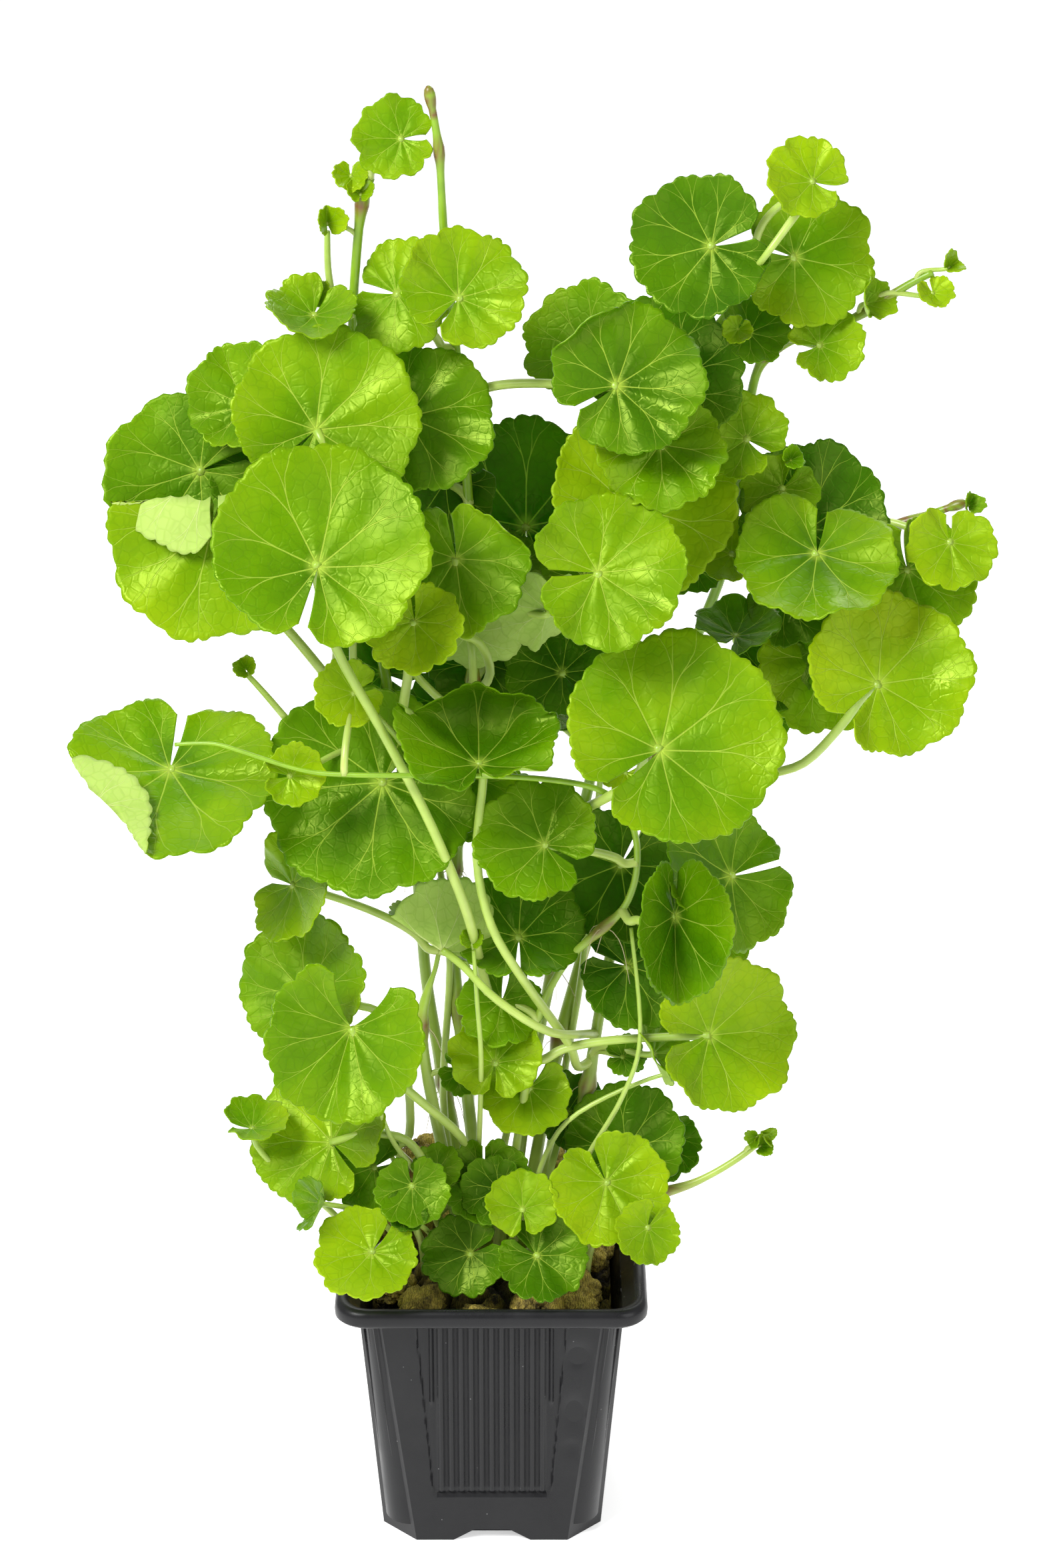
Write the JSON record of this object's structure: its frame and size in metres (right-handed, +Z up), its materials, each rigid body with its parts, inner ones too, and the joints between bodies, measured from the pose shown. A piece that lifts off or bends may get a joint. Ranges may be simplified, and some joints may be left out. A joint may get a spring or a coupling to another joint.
{
  "type": "potted pennywort plant",
  "caption": "Upright clump of round scalloped leaves on long thin stems, growing from fibrous medium in a square ribbed nursery pot.",
  "frame": {"origin": "centre of the pot's underside, on the surface that the pot stands on", "axes": "+Z up along the plant, the pot's front panel facing -Y, +X to the right seen from the front"},
  "size_m": [0.2541, 0.1073, 0.4283],
  "materials": {
    "pot": "black, satin, with soft highlights along the ribs and lip",
    "growing_medium": "matt fibrous lumps, olive brown, damp",
    "stem": "smooth, fresh green, browner at the nodes",
    "leaf": "glossy, waxy fresh green, with paler veins and paler underside"
  },
  "bodies": {
    "root": {"pot": "pot", "growing_medium": "growing_medium", "stem_left": "stem", "stem_centre": "stem", "stem_right": "stem", "stem_right_outer": "stem", "stem_right_low": "stem", "stem_runner": "stem", "stem_left_low": "stem", "stem_side_left": "stem", "stem_side_right": "stem", "leaf_back_left": "leaf", "leaf_back_centre": "leaf", "leaf_left_wing": "leaf", "leaf_left_shoulder": "leaf", "leaf_left_inner": "leaf", "leaf_left_broad": "leaf", "leaf_left_front": "leaf", "leaf_crown_left": "leaf", "leaf_crown_back": "leaf", "leaf_crown_front": "leaf", "leaf_centre_pale": "leaf", "leaf_centre_rolled": "leaf", "leaf_centre_fresh": "leaf", "leaf_right_back": "leaf", "leaf_right_shade": "leaf", "leaf_right_pale": "leaf", "leaf_right_under": "leaf", "leaf_right_broad": "leaf", "leaf_right_gloss": "leaf", "leaf_top_right_back": "leaf", "leaf_top_right": "leaf", "leaf_outer_shade": "leaf", "leaf_outer_far": "leaf", "leaf_outer_open": "leaf", "leaf_side_back": "leaf", "leaf_side_large": "leaf", "leaf_front_large": "leaf", "leaf_middle_shade": "leaf", "leaf_far_left": "leaf", "leaf_middle_hanging": "leaf", "leaf_middle_rolled": "leaf", "leaf_middle_light": "leaf", "leaf_middle_dark": "leaf", "leaf_inner_low": "leaf", "leaf_inner_dark": "leaf", "leaf_inner_pale": "leaf", "leaf_right_folded": "leaf", "leaf_right_wing": "leaf", "leaf_right_low": "leaf", "leaf_left_narrow": "leaf", "leaf_left_low_back": "leaf", "leaf_left_low_front": "leaf", "leaf_low_left": "leaf", "leaf_low_centre": "leaf", "leaf_low_front_centre": "leaf", "leaf_low_front_left": "leaf", "leaf_low_front_right": "leaf", "leaf_low_right": "leaf", "leaf_low_right_shade": "leaf"}
  },
  "joints": []
}
